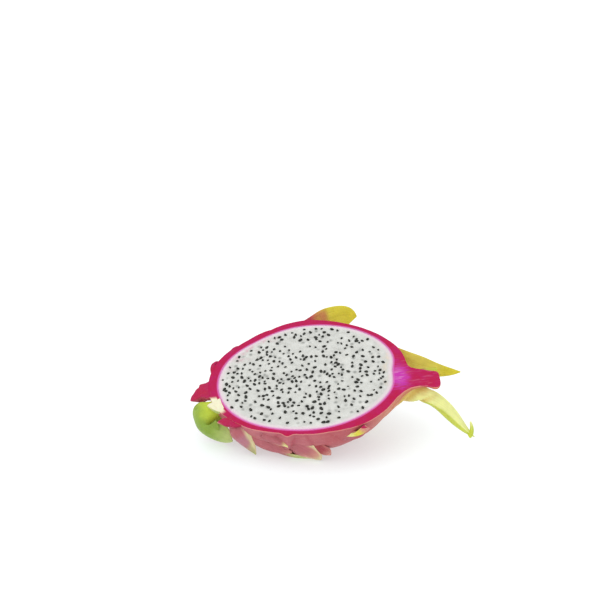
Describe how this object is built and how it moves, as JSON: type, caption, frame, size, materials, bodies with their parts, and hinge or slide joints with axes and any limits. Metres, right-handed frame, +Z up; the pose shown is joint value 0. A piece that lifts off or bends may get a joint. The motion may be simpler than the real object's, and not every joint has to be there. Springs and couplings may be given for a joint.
{
  "type": "dragon fruit half",
  "caption": "Half of a scaly oval fruit cut lengthwise, lying on its skin with the seeded flesh facing up, in a rind whose scales point towards one end.",
  "frame": {"origin": "centre of the bounding box's footprint, on the surface that the half lies on", "axes": "+X from the stem end to the crown end, +Y towards the raised side of the tilted cut face, +Z up"},
  "size_m": [0.1614, 0.1006, 0.0578],
  "materials": {
    "rind": "satin, magenta to salmon pink, with yellow-green scale ends",
    "flesh": "moist, greyish white, with black seeds"
  },
  "bodies": {
    "root": {"rind": "rind", "flesh": "flesh"}
  },
  "joints": []
}
